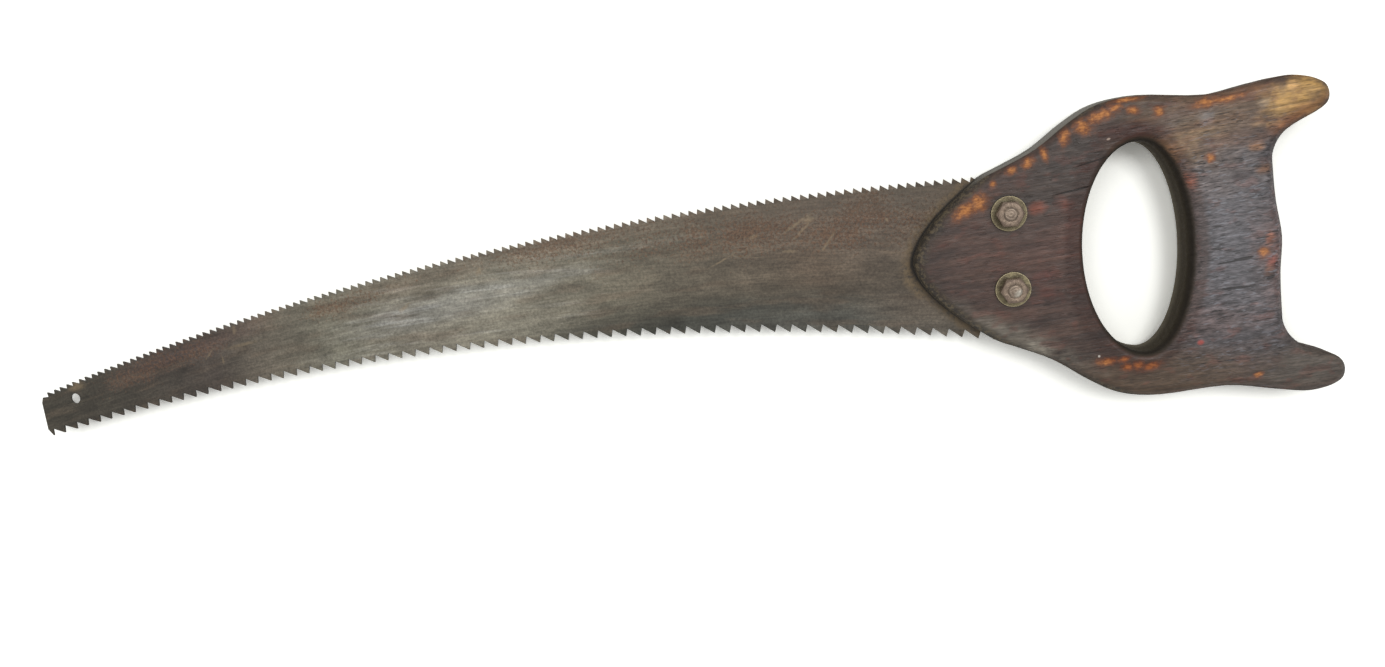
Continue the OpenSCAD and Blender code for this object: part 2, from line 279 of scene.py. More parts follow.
@dataclass(frozen=True)
class Mark:
    """An oval mark on the upper face of a piece, in millimetres in the object's frame."""

    at: Point
    length: float
    width: float
    turn: float = 0.0
    depth: float = 16.0

    def field(self, canvas: Canvas, effects: Effects, place: Socket, height: float) -> Socket:
        """Places the mark's field at the height of the face that it is on."""
        return canvas.effect(
            effects.patch,
            vector=place,
            centre=(*self.at, height),
            turn=-math.radians(self.turn),
            size=(self.length, self.width, self.depth),
        )


@dataclass(frozen=True)
class Tint:
    """A part of a surface that has a colour of its own, with a soft rim."""

    mark: Mark
    colour: Colour
    strength: float = 1.0
    tear: float = 0.9
    softness: float = 0.5


def joined(canvas: Canvas, fields: list[Socket]) -> Socket:
    """The highest of several fields.

    Args:
        canvas: where the nodes go.
        fields: the fields to join.

    Returns:
        One field.
    """
    result = fields[0]
    for other in fields[1:]:
        result = canvas.math("MAXIMUM", result, other)
    return result


@dataclass(frozen=True)
class FrontLine:
    """The line of the wood's front edge, along which painted shade, crust and smears lie on wood and steel,
    in millimetres.
    """

    bolts_middle: Point = (163.569, 11.351)
    tilt: float = 5.1
    drop: float = 3.05
    lean: float = 0.04
    reach: float = 38.2
    heel_at: float = 8.5
    heel_half: float = 33.15
    power: float = 1.66

    def ahead(self, canvas: Canvas, place: Socket) -> Socket:
        """How far a point lies ahead of the line.

        Args:
            canvas: where the nodes go.
            place: the place on the object in millimetres.

        Returns:
            The distance along the handle, less than 0 on the wood.
        """
        own = canvas.vector("SUBTRACT", place, (*self.bolts_middle, 0.0)).outputs[0]
        own = canvas.turned(own, math.radians(self.tilt))
        parts = canvas.node("ShaderNodeSeparateXYZ")
        canvas.feed(parts.inputs[0], own)
        up = canvas.math("ADD", parts.outputs["Y"], self.drop)
        share = canvas.math("DIVIDE", canvas.math("ABSOLUTE", up), self.heel_half)
        curve = canvas.math("POWER", share, self.power)
        edge = canvas.math("MULTIPLY_ADD", curve, self.reach - self.heel_at, -self.reach)
        edge = canvas.math("MULTIPLY_ADD", up, -self.lean, edge)
        return canvas.math("SUBTRACT", edge, parts.outputs["X"])


@dataclass(frozen=True)
class Finish:
    """What all finishes have: a name and the height of the face that carries marks."""

    name: str
    face_height: float

    def start(self) -> tuple[bpy.types.Material, Canvas, bpy.types.Node]:
        """Makes an empty material with its surface shader."""
        made = bpy.data.materials.new(self.name)
        made.use_nodes = True
        made.node_tree.nodes.clear()
        canvas = Canvas(made.node_tree)
        surface = canvas.node("ShaderNodeBsdfPrincipled")
        output = canvas.node("ShaderNodeOutputMaterial")
        canvas.feed(output.inputs["Surface"], surface.outputs[0])
        return made, canvas, surface

    def tinted(self, canvas: Canvas, effects: Effects, place: Socket, colour: Socket,
               tints: tuple[Tint, ...], noise: Socket) -> Socket:
        """Lays tints over a colour, in order.

        Args:
            canvas: where the nodes go.
            effects: the shared effects.
            place: the place on the object in millimetres.
            colour: the colour below.
            tints: the tints, lowest first.
            noise: what tears their rims.

        Returns:
            The colour with its tints.
        """
        for tint in tints:
            shown = canvas.effect(
                effects.ragged,
                field=tint.mark.field(canvas, effects, place, self.face_height),
                noise=noise,
                tear=tint.tear,
                softness=tint.softness,
            )
            colour = canvas.mix(canvas.math("MULTIPLY", shown, tint.strength), colour, tint.colour)
        return colour

    def uneven(self, canvas: Canvas, surface: bpy.types.Node, height: Socket) -> None:
        """Gives the surface a relief whose heights are millimetres."""
        bump = canvas.node("ShaderNodeBump")
        canvas.feed(bump.inputs["Strength"], 1.0)
        canvas.feed(bump.inputs["Distance"], MM)
        canvas.feed(bump.inputs["Height"], height)
        canvas.feed(surface.inputs["Normal"], bump.outputs[0])


@dataclass(frozen=True)
class OldWood(Finish):
    """Dark hardwood, polished by hands, with bare orange spots where it was knocked."""

    dark: Colour = (0.031, 0.020, 0.016)
    brown: Colour = (0.066, 0.039, 0.029)
    red: Colour = (0.110, 0.040, 0.028)
    pore: Colour = (0.008, 0.006, 0.005)
    bare_dark: Colour = (0.21, 0.070, 0.022)
    bare_light: Colour = (0.53, 0.215, 0.064)
    halo: Colour = (0.125, 0.050, 0.030)
    glint: Colour = (0.200, 0.205, 0.230)
    hole_rim_shade: Colour = (0.64, 0.50, 0.44)
    flank_side_highlight: Colour = (0.200, 0.190, 0.165)
    # Colour of the painted shade in crevices, along the front edge, on upright faces and on rounded edges.
    painted_shade_colour: Colour = (0.020, 0.017, 0.012)
    crust: Colour = (0.128, 0.098, 0.058)
    # Painted shade and painted bounce light of the hand hole's wall.
    wall_shade: Colour = (0.040, 0.030, 0.014)
    wall_bounce_light: Colour = (0.250, 0.222, 0.160)
    wall_heights: Point = (0.5, 16.0)
    tints: tuple[Tint, ...] = ()
    bare_spots: tuple[Mark, ...] = ()
    cracks: tuple[Mark, ...] = ()
    specks: tuple[Mark, ...] = ()
    polished: tuple[Mark, ...] = ()
    gripped: Mark = Mark((0.0, 0.0), 1.0, 1.0)
    highlit_flank: Mark = Mark((0.0, 0.0), 1.0, 1.0)
    hand_hole: Mark = Mark((0.0, 0.0), 1.0, 1.0)
    rim_heights: tuple[float, float, float, float] = (19.5, 23.4, 23.2, 24.74)
    grain_turn: float = -1.0
    front: FrontLine = FrontLine()

    def in_hole(self, canvas: Canvas, effects: Effects, place: Socket) -> Socket:
        """A mask of the hand hole's wall and rounded rim."""
        parts = canvas.node("ShaderNodeSeparateXYZ")
        canvas.feed(parts.inputs[0], place)
        within = canvas.step(self.hand_hole.field(canvas, effects, place, self.face_height), -0.03, 0.03)
        below = canvas.step(parts.outputs["Z"], self.rim_heights[3], self.rim_heights[2])
        return canvas.math("MULTIPLY", within, below)

    def round_hole(self, canvas: Canvas, effects: Effects, place: Socket) -> Socket:
        """A mask of the painted shade on the face's rounding all round the hand hole."""
        around = self.hand_hole.field(canvas, effects, place, self.face_height)
        return canvas.step(around, -0.13, -0.02)

    def hole_wall_shading(self, canvas: Canvas, place: Socket) -> Socket:
        """Painted light on the hand hole's wall: lighter at its foot from the floor's bounced light, painted
        shade higher up.
        """
        parts = canvas.node("ShaderNodeSeparateXYZ")
        canvas.feed(parts.inputs[0], place)
        high = canvas.step(parts.outputs["Z"], *self.wall_heights)
        return canvas.mix(high, self.wall_bounce_light, self.wall_shade)

    def on_rim(self, canvas: Canvas, place: Socket) -> Socket:
        """A mask of the heights of the hand hole's rounded rim."""
        parts = canvas.node("ShaderNodeSeparateXYZ")
        canvas.feed(parts.inputs[0], place)
        return canvas.step(parts.outputs["Z"], self.rim_heights[0], self.rim_heights[1])

    def build(self, effects: Effects) -> bpy.types.Material:
        """Builds the material."""
        made, canvas, surface = self.start()
        place = canvas.place()
        turn = -math.radians(self.grain_turn)

        def grain(length: float, width: float, detail: float) -> Socket:
            """The wood's own grain at one size."""
            return canvas.effect(
                effects.grain, vector=place, turn=turn, length=length, width=width, detail=detail
            )

        def shown(marks: tuple[Mark, ...]) -> Socket:
            """The joined field of several marks."""
            return joined(canvas, [m.field(canvas, effects, place, self.face_height) for m in marks])

        figure = grain(46.0, 6.0, 3.0)
        fibre = grain(17.0, 1.1, 4.0)
        fine = grain(2.4, 0.45, 3.0)
        mottle = grain(4.4, 1.5, 4.0)
        cloud = canvas.noise(place, 11.0, 3.0, 0.6)
        pores = canvas.math(
            "MULTIPLY",
            canvas.step(grain(5.0, 0.75, 1.0), 0.60, 0.67),
            canvas.step(cloud, 0.34, 0.60),
        )
        held = canvas.effect(effects.ragged, field=shown((self.gripped,)), noise=cloud, tear=1.2,
                             softness=0.6)
        lively = canvas.math("MULTIPLY_ADD", held, 0.70, 0.40, clamp=True)

        colour = canvas.mix(canvas.step(figure, 0.35, 0.68), self.dark, self.brown)
        colour = self.tinted(canvas, effects, place, colour, self.tints, canvas.noise(place, 7.0, 4.0))
        reddish = canvas.step(grain(7.0, 4.0, 4.0), 0.54, 0.66)
        colour = canvas.mix(canvas.math("MULTIPLY", reddish, 0.34), colour, self.red)
        colour = canvas.mix(1.0, colour, canvas.scaled(fibre, 0.66, 1.34), "MULTIPLY")
        colour = canvas.mix(lively, colour, canvas.scaled(mottle, 0.50, 1.54), "MULTIPLY")
        colour = canvas.mix(lively, colour, canvas.scaled(fine, 0.56, 1.46), "MULTIPLY")
        # Painted highlights: small blue-grey glints on the held grip.
        glints = canvas.math("MULTIPLY", canvas.step(grain(3.4, 0.9, 3.0), 0.57, 0.68), held)
        colour = canvas.mix(canvas.math("MULTIPLY", glints, 0.55), colour, self.glint)
        colour = canvas.mix(canvas.math("MULTIPLY", pores, canvas.math("MULTIPLY", lively, 0.8)), colour,
                            self.pore)

        bare_field = shown(self.bare_spots)
        chips = canvas.noise(place, 2.2, 4.0, 0.62)
        edge_of_bare = canvas.effect(effects.ragged, field=canvas.math("ADD", bare_field, 0.45),
                                     noise=chips, tear=2.4, softness=1.0)
        colour = canvas.mix(canvas.math("MULTIPLY", edge_of_bare, 0.6), colour, self.halo)
        worn = canvas.effect(effects.ragged, field=bare_field, noise=chips, tear=2.4, softness=0.95)
        lightness = canvas.math("MULTIPLY_ADD", grain(1.8, 0.8, 3.0), 1.6, canvas.math("MULTIPLY", worn, 0.5))
        bare = canvas.mix(canvas.step(lightness, 0.85, 1.55), self.bare_dark, self.bare_light)
        colour = canvas.mix(canvas.math("MULTIPLY", worn, 0.92), colour, bare)

        crack = canvas.effect(effects.ragged, field=shown(self.cracks), noise=grain(4.0, 0.9, 2.0),
                              tear=0.9, softness=0.3)
        colour = canvas.mix(canvas.math("MULTIPLY", crack, 0.85), colour, self.pore)
        speck = canvas.effect(effects.ragged, field=shown(self.specks), noise=cloud, tear=0.2, softness=0.3)
        colour = canvas.mix(canvas.math("MULTIPLY", speck, 0.8), colour, (0.62, 0.60, 0.55))

        # Painted shade: darkening in crevices and a dark band along the wood's front edge where it meets the
        # blade.
        painted_shade = canvas.math("MULTIPLY", canvas.effect(effects.contact_shade, reach=5.0), 0.9)
        ahead = canvas.math("MULTIPLY_ADD", cloud, 5.0, self.front.ahead(canvas, place))
        painted_shade = canvas.math("MAXIMUM", painted_shade, canvas.math("MULTIPLY", canvas.step(ahead, -6.0, 2.0), 0.85))
        colour = canvas.mix(painted_shade, colour, self.painted_shade_colour)
        crusty = canvas.math("MULTIPLY", canvas.step(ahead, -4.0, 1.0),
                             canvas.step(canvas.noise(place, 1.7, 4.0, 0.7), 0.44, 0.62))
        colour = canvas.mix(canvas.math("MULTIPLY", crusty, 0.75), colour, self.crust)
        # Painted shade on the rounding all round the hand hole.
        colour = canvas.mix(self.round_hole(canvas, effects, place), colour, self.hole_rim_shade, "MULTIPLY")
        walls = canvas.walls()
        # Painted shade: upright faces are darkened because they turn away from the light.
        colour = canvas.mix(canvas.math("MULTIPLY", walls, 0.25), colour, self.painted_shade_colour)
        # On the upper flank: painted shade along the rounded edge and a painted highlight on its upright side
        # face.
        flank = canvas.step(shown((self.highlit_flank,)), -0.05, 0.30)
        edge = canvas.math("MULTIPLY", canvas.effect(effects.edge_mask, radius=2.2), flank)
        colour = canvas.mix(canvas.math("MULTIPLY", edge, 0.6), colour, self.painted_shade_colour)
        flank_sides_lit = canvas.math("MULTIPLY", canvas.step(walls, 0.80, 1.0), flank)
        colour = canvas.mix(canvas.math("MULTIPLY", flank_sides_lit, 0.85), colour, self.flank_side_highlight)
        # Painted light on the hand hole's wall: bounce light at its foot, shade above.
        hole = self.in_hole(canvas, effects, place)
        colour = canvas.mix(canvas.math("MULTIPLY", hole, 0.9), colour, self.hole_wall_shading(canvas, place))
        # Painted shade: a near-black band along the top of the hand hole's wall, where it rounds over.
        rim = canvas.math("MULTIPLY", hole, self.on_rim(canvas, place))
        colour = canvas.mix(canvas.math("MULTIPLY", rim, 0.8), colour, self.pore)

        canvas.feed(surface.inputs["Base Color"], colour)
        covered = canvas.math("MAXIMUM", walls, hole)
        rough = canvas.math("MULTIPLY_ADD", fine, 0.34, canvas.scaled(mottle, 0.36, 0.20))
        rough = canvas.math("MULTIPLY_ADD", worn, 0.20, rough)
        rough = canvas.math("MULTIPLY_ADD", covered, 0.5, rough, clamp=True)
        canvas.feed(surface.inputs["Roughness"], rough)
        canvas.feed(surface.inputs["Specular IOR Level"], 0.30)
        polish = canvas.effect(effects.ragged, field=shown(self.polished), noise=fine, tear=2.4,
                               softness=0.8)
        polish = canvas.math("MULTIPLY", polish, canvas.math("SUBTRACT", 1.0, covered))
        canvas.feed(surface.inputs["Coat Weight"], canvas.math("MULTIPLY", polish, 0.42))
        canvas.feed(surface.inputs["Coat Roughness"], 0.30)
        relief = canvas.math("MULTIPLY_ADD", fine, 0.05, canvas.math("MULTIPLY", fibre, 0.08))
        relief = canvas.math("MULTIPLY_ADD", mottle, 0.16, relief)
        relief = canvas.math("MULTIPLY_ADD", canvas.noise(place, 9.0, 1.0), 0.35, relief)
        relief = canvas.math("MULTIPLY_ADD", pores, -0.09, relief)
        relief = canvas.math("MULTIPLY_ADD", crack, -0.30, relief)
        relief = canvas.math("MULTIPLY_ADD", worn, -0.10, relief)
        self.uneven(canvas, surface, relief)
        return made


@dataclass(frozen=True)
class OldSteel(Finish):
    """The blade's patina: brown at both ends, worn to grey steel along the middle."""

    stretch: tuple[tuple[float, Colour], ...] = ()
    tints: tuple[Tint, ...] = ()
    brown: Colour = (0.096, 0.068, 0.046)
    rubbed: Colour = (1.55, 1.60, 1.75)
    rust: Colour = (0.185, 0.098, 0.056)
    rust_dark: Colour = (0.075, 0.045, 0.032)
    rust_marks: tuple[Mark, ...] = ()
    scratch: Colour = (0.24, 0.18, 0.11)
    scratches: tuple[Mark, ...] = ()
    tooth_colour: Colour = (0.078, 0.066, 0.050)
    tooth_arc: tuple[Point, float] = ((0.0, 0.0), 1.0)
    resin: Colour = (0.135, 0.094, 0.050)
    worn_stretch: tuple[float, float, float, float] = (-175.0, -105.0, -30.0, 40.0)
    bow_radius: float = 1300.0
    bow_middle: float = -70.0
    front: FrontLine = FrontLine()

    def along(self, canvas: Canvas, place: Socket) -> Socket:
        """Bends the place so that streaks follow the bow of the blade."""
        parts = canvas.node("ShaderNodeSeparateXYZ")
        canvas.feed(parts.inputs[0], place)
        off = canvas.math("SUBTRACT", parts.outputs["X"], self.bow_middle)
        fall = canvas.math("DIVIDE", canvas.math("MULTIPLY", off, off), 2 * self.bow_radius)
        bent = canvas.node("ShaderNodeCombineXYZ")
        canvas.feed(bent.inputs["X"], parts.outputs["X"])
        canvas.feed(bent.inputs["Y"], canvas.math("ADD", parts.outputs["Y"], fall))
        canvas.feed(bent.inputs["Z"], parts.outputs["Z"])
        return bent.outputs[0]

    def base(self, canvas: Canvas, place: Socket) -> Socket:
        """The colour from the nose to the heel."""
        parts = canvas.node("ShaderNodeSeparateXYZ")
        canvas.feed(parts.inputs[0], place)
        first, last = self.stretch[0][0], self.stretch[-1][0]
        ramp = canvas.node("ShaderNodeValToRGB")
        across = canvas.math("DIVIDE", canvas.math("SUBTRACT", parts.outputs["X"], first), last - first)
        canvas.feed(ramp.inputs[0], across)
        stops = ramp.color_ramp.elements
        stops[1].position = 1.0
        for x, _ in self.stretch[1:-1]:
            stops.new((x - first) / (last - first))
        for stop, (_, colour) in zip(stops, self.stretch):
            stop.color = (*colour, 1.0)
        return ramp.outputs[0]

    def worn_middle(self, canvas: Canvas, place: Socket) -> Socket:
        """A mask of the stretch of the blade that is worn to bare steel."""
        parts = canvas.node("ShaderNodeSeparateXYZ")
        canvas.feed(parts.inputs[0], place)
        low, full, still, high = self.worn_stretch
        return canvas.math("MULTIPLY", canvas.step(parts.outputs["X"], low, full),
                           canvas.step(parts.outputs["X"], high, still))

    def build(self, effects: Effects) -> bpy.types.Material:
        """Builds the material."""
        made, canvas, surface = self.start()
        place = canvas.place()
        bent = self.along(canvas, place)

        def streak(length: float, width: float, detail: float, turn: float = 0.0) -> Socket:
            """Streaks along the bow at one size."""
            return canvas.effect(
                effects.grain, vector=bent, turn=math.radians(turn), length=length, width=width,
                detail=detail,
            )

        cloud = canvas.noise(place, 16.0, 5.0, 0.62)
        pitting = canvas.noise(place, 1.2, 4.0, 0.72)
        colour = self.base(canvas, place)
        colour = self.tinted(canvas, effects, place, colour, self.tints,
                             canvas.math("MULTIPLY_ADD", streak(20.0, 3.0, 4.0), 0.5,
                                         canvas.math("MULTIPLY", cloud, 0.5)))

        blotch = canvas.math("MULTIPLY", canvas.step(streak(24.0, 5.0, 5.0), 0.50, 0.66), 0.55)
        colour = canvas.mix(blotch, colour, canvas.mix(0.6, colour, self.brown))
        worn = canvas.math("MULTIPLY", canvas.step(streak(30.0, 2.6, 4.0, 2.0), 0.54, 0.70),
                           self.worn_middle(canvas, place))
        rubbed = canvas.mix(1.0, colour, self.rubbed, "MULTIPLY")
        colour = canvas.mix(canvas.math("MULTIPLY", worn, 0.6), colour, rubbed)
        colour = canvas.mix(1.0, colour, canvas.scaled(cloud, 0.78, 1.22), "MULTIPLY")
        colour = canvas.mix(1.0, colour, canvas.scaled(streak(36.0, 3.0, 5.0), 0.82, 1.20), "MULTIPLY")
        colour = canvas.mix(1.0, colour, canvas.scaled(streak(6.0, 2.2, 4.0), 0.84, 1.18), "MULTIPLY")
        colour = canvas.mix(1.0, colour, canvas.scaled(streak(9.0, 0.8, 4.0), 0.84, 1.18), "MULTIPLY")
        colour = canvas.mix(1.0, colour, canvas.scaled(pitting, 0.66, 1.36), "MULTIPLY")

        specks = canvas.noise(place, 1.3, 4.0, 0.75)
        rusty = canvas.effect(
            effects.ragged,
            field=canvas.math("MULTIPLY_ADD", joined(
                canvas, [m.field(canvas, effects, place, self.face_height) for m in self.rust_marks]),
                0.5, -0.25),
            noise=canvas.math("MULTIPLY_ADD", specks, 0.75, canvas.math("MULTIPLY", cloud, 0.25)),
            tear=8.0,
            softness=0.3,
        )
        grains = canvas.mix(canvas.step(pitting, 0.32, 0.68), self.rust_dark, self.rust)
        colour = canvas.mix(canvas.math("MULTIPLY", rusty, 0.55), colour, grains)

        hair = canvas.math(
            "MAXIMUM",
            canvas.step(streak(34.0, 0.30, 1.0, 7.0), 0.70, 0.76),
            canvas.step(streak(22.0, 0.26, 1.0, -16.0), 0.72, 0.78),
        )
        colour = canvas.mix(canvas.math("MULTIPLY", hair, 0.22), colour, self.scratch)
        cut = canvas.effect(
            effects.ragged,
            field=joined(canvas, [m.field(canvas, effects, place, self.face_height)
                                  for m in self.scratches]),
            noise=canvas.noise(place, 1.6, 4.0),
            tear=3.2,
            softness=0.9,
        )
        colour = canvas.mix(canvas.math("MULTIPLY", cut, 0.42), colour, self.scratch)

        centre, radius = self.tooth_arc
        reach = canvas.vector("DISTANCE", place, (*centre, self.face_height)).outputs["Value"]
        teeth = canvas.step(reach, radius - 4.6, radius - 1.6)
        colour = canvas.mix(canvas.math("MULTIPLY", teeth, 0.28), colour, self.tooth_colour)

        ahead = self.front.ahead(canvas, place)
        smear = canvas.math(
            "MULTIPLY",
            canvas.step(canvas.math("MULTIPLY_ADD", cloud, 10.0, ahead), 13.0, 7.0),
            canvas.step(canvas.noise(place, 2.0, 4.0, 0.7), 0.36, 0.60),
        )
        colour = canvas.mix(canvas.math("MULTIPLY", smear, 0.85), colour, self.resin)
        # Painted shade: darkening in crevices and a dark line on the steel along the wood's front edge.
        painted_shade = canvas.math("MULTIPLY", canvas.effect(effects.contact_shade, reach=4.0), 1.3, clamp=True)
        painted_shade = canvas.math("MAXIMUM", painted_shade, canvas.step(ahead, 2.2, 0.4))
        colour = canvas.mix(painted_shade, colour, (0.016, 0.013, 0.010))

        canvas.feed(surface.inputs["Base Color"], colour)
        canvas.feed(surface.inputs["Metallic"], 0.55)
        rough = canvas.math("MULTIPLY_ADD", cloud, 0.22, 0.36)
        canvas.feed(surface.inputs["Roughness"], canvas.math("MULTIPLY_ADD", rusty, 0.2, rough, clamp=True))
        relief = canvas.math("MULTIPLY", pitting, 0.045)
        relief = canvas.math("MULTIPLY_ADD", hair, -0.02, relief)
        relief = canvas.math("MULTIPLY_ADD", rusty, 0.02, relief)
        self.uneven(canvas, surface, relief)
        return made


@dataclass(frozen=True)
class OldFitting(Finish):
    """The patina of a washer, nut or bolt, with painted shade in its corners, and edges lighter from rubbing
    and a painted highlight.
    """

    base: Colour = (0.12, 0.09, 0.07)
    second: Colour = (0.08, 0.06, 0.045)
    rubbed: Colour = (0.25, 0.20, 0.16)
    shaded_corner: Colour = (0.020, 0.017, 0.012)
    axis: Point = (0.0, 0.0)
    ring_pitch: float = 0.0
    bright: tuple[Mark, ...] = ()
    bright_colour: Colour = (0.34, 0.31, 0.26)
    metallic: float = 0.6
    rough: float = 0.42
    edge_radius: float = 0.45
    painted_shade: float = 1.5
    shade_reach: float = 2.0

    def rings(self, canvas: Canvas, place: Socket, cloud: Socket) -> Socket:
        """Rings round the bolt's axis, as a hammer and a spinning tool leave."""
        offset = canvas.vector("SUBTRACT", place, (*self.axis, self.face_height)).outputs[0]
        reach = canvas.vector("LENGTH", offset).outputs["Value"]
        wavy = canvas.math("MULTIPLY_ADD", cloud, 1.6, canvas.math("DIVIDE", reach, self.ring_pitch))
        wave = canvas.math("SINE", canvas.math("MULTIPLY", wavy, math.tau))
        return canvas.math("MULTIPLY_ADD", wave, 0.5, 0.5)

    def build(self, effects: Effects) -> bpy.types.Material:
        """Builds the material."""
        made, canvas, surface = self.start()
        place = canvas.place()
        cloud = canvas.noise(place, 2.6, 4.0, 0.6)
        fine = canvas.noise(place, 0.5, 3.0, 0.6)
        colour = canvas.mix(canvas.step(cloud, 0.36, 0.64), self.base, self.second)
        relief = canvas.math("MULTIPLY", cloud, 0.22)
        relief = canvas.math("MULTIPLY_ADD", fine, 0.04, relief)
        if self.ring_pitch:
            rings = self.rings(canvas, place, cloud)
            colour = canvas.mix(canvas.math("MULTIPLY", rings, 0.4), colour, self.rubbed)
            relief = canvas.math("MULTIPLY_ADD", rings, 0.05, relief)
        # Edges lighter: rubbed wear with a painted highlight.
        edges = canvas.effect(effects.edge_mask, radius=self.edge_radius)
        rubbed = canvas.math("MULTIPLY", edges, canvas.step(cloud, 0.2, 0.55))
        colour = canvas.mix(canvas.math("MULTIPLY", rubbed, 0.8), colour, self.rubbed)
        # A bright spot: worn steel with a painted highlight on the dome.
        if self.bright:
            shown = canvas.effect(
                effects.ragged,
                field=joined(canvas, [m.field(canvas, effects, place, self.face_height)
                                      for m in self.bright]),
                noise=cloud,
                tear=1.2,
                softness=0.5,
            )
            colour = canvas.mix(canvas.math("MULTIPLY", shown, 0.9), colour, self.bright_colour)
        # Painted shade in the hollows, between washer, nut and bolt.
        painted_shade = canvas.math("MULTIPLY", canvas.effect(effects.contact_shade, reach=self.shade_reach),
                           canvas.scaled(cloud, 0.6 * self.painted_shade, 1.2 * self.painted_shade), clamp=True)
        colour = canvas.mix(painted_shade, colour, self.shaded_corner)
        canvas.feed(surface.inputs["Base Color"], colour)
        canvas.feed(surface.inputs["Metallic"], self.metallic)
        canvas.feed(surface.inputs["Roughness"],
                    canvas.math("MULTIPLY_ADD", fine, 0.2, self.rough - 0.1, clamp=True))
        self.uneven(canvas, surface, relief)
        return made


# The saw's pieces


def dressed(node: str, material: bpy.types.Material) -> bpy.types.Object:
    """Gives a node of the frame its material.

    Args:
        node: the node's name.
        material: the finish that it gets.

    Returns:
        The node's object.
    """
    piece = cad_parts[node]
    piece.data.materials.clear()
    piece.data.materials.append(material)
    LOG.info("%s dressed in %s", node, material.name)
    return piece


def smoothed(piece: bpy.types.Object, split_angle: float, bevel: float = 0.0) -> None:
    """Joins a piece's faces, rounds its sharp edges and shades its curves smoothly.

    Args:
        piece: a node of the frame, whose own mesh stays as it is.
        split_angle: edges sharper than this many degrees stay sharp.
        bevel: width of the rounding in millimetres, or 0 for none.
    """
    mesh = piece.data
    mesh.polygons.foreach_set("use_smooth", [True] * len(mesh.polygons))
    if "custom_normal" in mesh.attributes:
        mesh.attributes.remove(mesh.attributes["custom_normal"])
    weld = piece.modifiers.new("joined faces", "WELD")
    weld.merge_threshold = 0.002 * MM
    if bevel:
        rounding = piece.modifiers.new("rounded edges", "BEVEL")
        rounding.width = bevel * MM
        rounding.segments = 2
        rounding.limit_method = "ANGLE"
        rounding.angle_limit = math.radians(split_angle)
        rounding.use_clamp_overlap = True
    split = piece.modifiers.new("sharp edges", "EDGE_SPLIT")
    split.split_angle = math.radians(split_angle)
    split.use_edge_sharp = False
    even = piece.modifiers.new("even faces", "WEIGHTED_NORMAL")
    even.mode = "FACE_AREA"
    even.weight = 80


